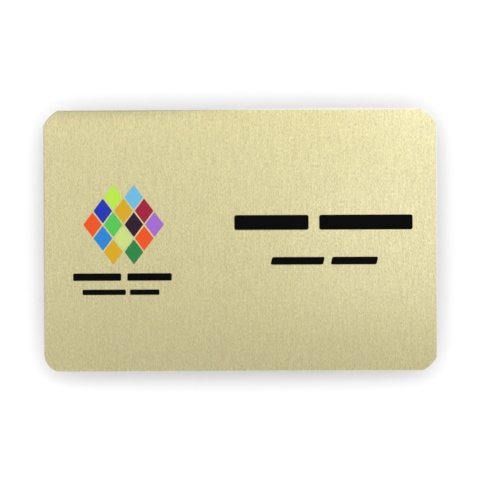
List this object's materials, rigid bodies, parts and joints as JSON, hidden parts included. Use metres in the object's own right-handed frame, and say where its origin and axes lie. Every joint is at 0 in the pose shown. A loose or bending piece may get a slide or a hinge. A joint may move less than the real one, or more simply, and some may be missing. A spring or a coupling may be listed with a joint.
{
  "type": "name badge",
  "caption": "Flat rectangular metal name badge with clipped corners, a printed face and a magnetic bar on its back that holds it on cloth.",
  "frame": {"origin": "on the surface that the badge lies on, at the back of its fastener, below the middle of the plate", "axes": "+X to the right of the badge as it is read, +Y to its top edge, +Z out of its face"},
  "size_m": [0.0762, 0.0508, 0.0051],
  "materials": {
    "brushed_gold": "pale gold satin coating with fine short streaks that run up and down",
    "black_casing": "fine matt moulded surface",
    "black_ink": "printed into the coating of the metal, smooth",
    "coloured_ink": "several bright colours printed into the coating of the metal, smooth"
  },
  "bodies": {
    "root": {"badge_plate": "brushed_gold", "magnet_bar": "black_casing"}
  },
  "joints": []
}
